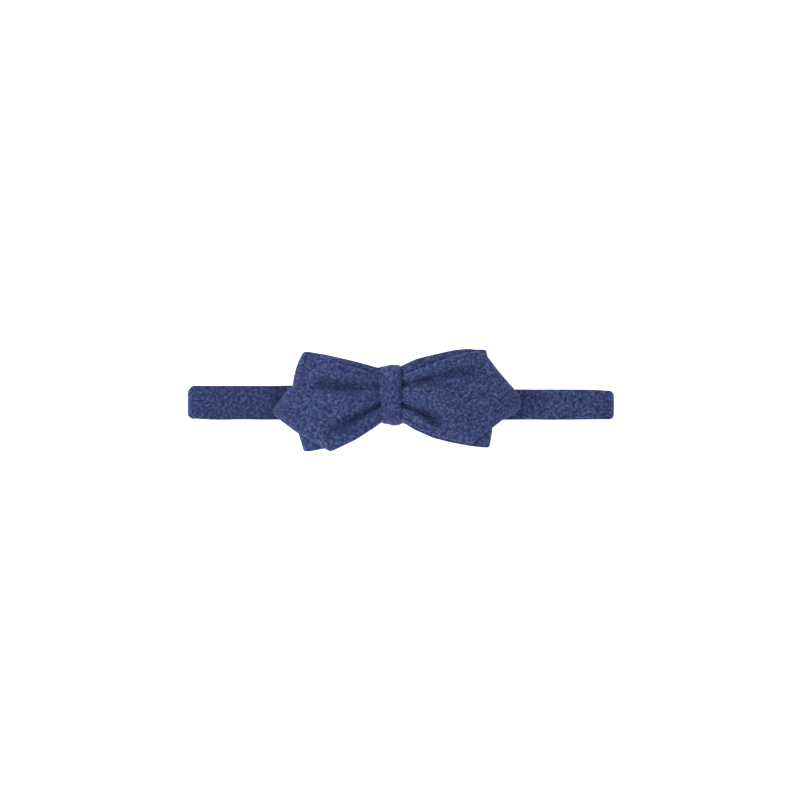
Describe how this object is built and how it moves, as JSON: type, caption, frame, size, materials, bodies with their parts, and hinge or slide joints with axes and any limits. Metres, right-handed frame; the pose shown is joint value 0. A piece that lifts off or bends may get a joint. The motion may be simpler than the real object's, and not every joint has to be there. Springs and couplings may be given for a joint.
{
  "type": "bow tie",
  "caption": "Pre-tied bow tie with diamond points: a double-pointed front blade over a folded back loop, gathered by a knot wrap on an adjustable hook-and-eye neckband.",
  "frame": {"origin": "under the middle of the object's bounding box, on the surface it lies on", "axes": "+X along the folded neckband, towards the wearer's left; +Y up the bow; +Z out of the bow's face"},
  "size_m": [0.2082, 0.05, 0.0199],
  "materials": {
    "wool": "navy and blue melange wool tweed, matt and slightly fuzzy",
    "interlining": "woven cotton interlining, off-white, matt",
    "thread": "navy polyester sewing thread",
    "nickel": "polished nickel plate on steel"
  },
  "bodies": {
    "back_link": {"band_back_bend": "wool", "band_back_bend_interlining": "interlining", "band_back_left": "wool", "band_back_left_interlining": "interlining", "band_back_right": "wool", "band_back_right_interlining": "interlining", "band_hook_turn": "wool", "band_tail": "wool", "band_tail_interlining": "interlining", "hook": "nickel"},
    "adjuster": {"band_slide_hump": "wool", "band_slide_hump_interlining": "interlining", "band_tail_end": "wool", "slide_adjuster": "nickel", "tail_tack_stitches": "thread"},
    "left_lower": {"band_left_lower": "wool", "band_left_lower_interlining": "interlining"},
    "left_turn": {"band_fold_left": "wool", "band_fold_left_interlining": "interlining"},
    "left_upper": {"band_left_upper": "wool", "band_left_upper_interlining": "interlining"},
    "bow": {"band_front_left": "wool", "band_front_left_interlining": "interlining", "band_front_right": "wool", "band_front_right_interlining": "interlining", "back_loop_outer": "wool", "back_loop_interlining": "interlining", "back_loop_lining": "wool", "front_blade_face": "wool", "front_blade_interlining": "interlining", "front_blade_lining": "wool", "knot_wrap": "wool", "knot_interlining": "interlining", "knot_closing_stitches": "thread"},
    "right_upper": {"band_right_upper": "wool", "band_right_upper_interlining": "interlining"},
    "right_turn": {"band_fold_right": "wool", "band_fold_right_interlining": "interlining"},
    "right_lower": {"band_right_lower": "wool", "eye_ring": "nickel", "eye_bartack_stitches": "thread"}
  },
  "joints": [
    {"name": "band_open", "type": "hinge", "parent": "back_link", "child": "left_lower", "pos_m": [-0.034, -0.00225, 0.002], "axis": [0, 1, 0], "range_deg": [0, 60], "deforming": ["band_back_bend", "band_back_bend_interlining"]},
    {"name": "left_fold_lower", "type": "hinge", "parent": "left_lower", "child": "left_turn", "pos_m": [-0.1024, -0.00225, 0.00245], "axis": [0, -1, 0], "range_deg": [0, 60], "deforming": ["band_fold_left", "band_fold_left_interlining"]},
    {"name": "left_fold_upper", "type": "hinge", "parent": "left_turn", "child": "left_upper", "pos_m": [-0.1024, -0.00225, 0.00735], "axis": [0, -1, 0], "range_deg": [0, 60], "deforming": ["band_fold_left", "band_fold_left_interlining"]},
    {"name": "left_shoulder", "type": "hinge", "parent": "left_upper", "child": "bow", "pos_m": [-0.034, -0.00225, 0.0078], "axis": [0, 1, 0], "range_deg": [0, 60], "deforming": ["band_front_left", "band_front_left_interlining"]},
    {"name": "right_shoulder", "type": "hinge", "parent": "bow", "child": "right_upper", "pos_m": [0.034, -0.00225, 0.0078], "axis": [0, 1, 0], "range_deg": [0, 60], "deforming": ["band_front_right", "band_front_right_interlining"]},
    {"name": "right_fold_upper", "type": "hinge", "parent": "right_upper", "child": "right_turn", "pos_m": [0.1024, -0.00225, 0.00735], "axis": [0, -1, 0], "range_deg": [0, 60], "deforming": ["band_fold_right", "band_fold_right_interlining"]},
    {"name": "right_fold_lower", "type": "hinge", "parent": "right_turn", "child": "right_lower", "pos_m": [0.1024, -0.00225, 0.00245], "axis": [0, -1, 0], "range_deg": [0, 60], "deforming": ["band_fold_right", "band_fold_right_interlining"]},
    {"name": "adjuster_travel", "type": "slide", "parent": "back_link", "child": "adjuster", "axis": [1, 0, 0], "range_m": [-0.014, 0.008], "deforming": ["band_back_left", "band_back_left_interlining", "band_back_right", "band_back_right_interlining", "band_tail", "band_tail_interlining"]}
  ],
  "couplings": [
    {"joint": "left_fold_lower", "follows": "band_open", "ratio": 1},
    {"joint": "left_fold_upper", "follows": "band_open", "ratio": 1},
    {"joint": "left_shoulder", "follows": "band_open", "ratio": 1},
    {"joint": "right_shoulder", "follows": "band_open", "ratio": 1},
    {"joint": "right_fold_upper", "follows": "band_open", "ratio": 1},
    {"joint": "right_fold_lower", "follows": "band_open", "ratio": 1}
  ]
}
